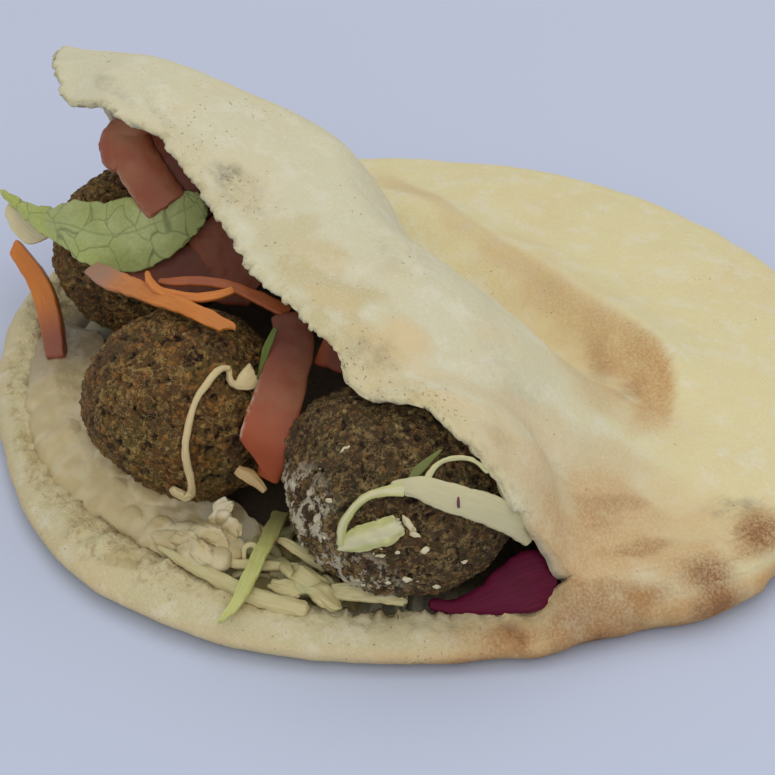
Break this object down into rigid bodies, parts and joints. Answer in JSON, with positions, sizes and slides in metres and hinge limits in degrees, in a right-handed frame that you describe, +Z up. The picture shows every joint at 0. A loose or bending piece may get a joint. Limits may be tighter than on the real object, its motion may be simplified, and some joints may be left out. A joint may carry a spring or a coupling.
{
  "type": "falafel pita",
  "caption": "Round pocket bread slit along its front, its top raised over falafel balls with strips of tomato, carrot, beet and cabbage, a salad leaf and sesame sauce.",
  "frame": {"origin": "middle of the bread's flat underside", "axes": "+Z up; the slit and its filling face -Y, the bread's closed back is at +Y, the raised end of the flap is at -X"},
  "size_m": [0.1791, 0.1732, 0.0664],
  "materials": {
    "bread": "matte, pale yellow with toasted patches and charred specks",
    "falafel": "rough, dark brown crumbly crust",
    "tomato": "moist",
    "leaf": "satin, veined",
    "onion": "satin, pale and slightly translucent",
    "carrot": "moist",
    "cabbage": "moist, pale yellow-green",
    "beet": "moist, deep magenta",
    "tahini": "creamy, wet sheen"
  },
  "bodies": {
    "root": {"pita": "bread", "falafel_right": "falafel", "falafel_left": "falafel", "falafel_back": "falafel", "tomato_front": "tomato", "tomato_top": "tomato", "tomato_slice_a": "tomato", "tomato_slice_b": "tomato", "tomato_shade": "tomato", "tomato_deep": "tomato", "leaf": "leaf", "leaf_scrap": "leaf", "onion_left": "onion", "carrot_left": "carrot", "carrot_mid": "carrot", "carrot_thin": "carrot", "carrot_arc": "carrot", "cabbage_strand": "cabbage", "cabbage_rib": "cabbage", "cabbage_curl": "cabbage", "cabbage_loop": "cabbage", "cabbage_shred": "cabbage", "cabbage_front": "cabbage", "cabbage_side": "cabbage", "cabbage_heap": "cabbage", "beet": "beet", "tahini": "tahini"}
  },
  "joints": []
}
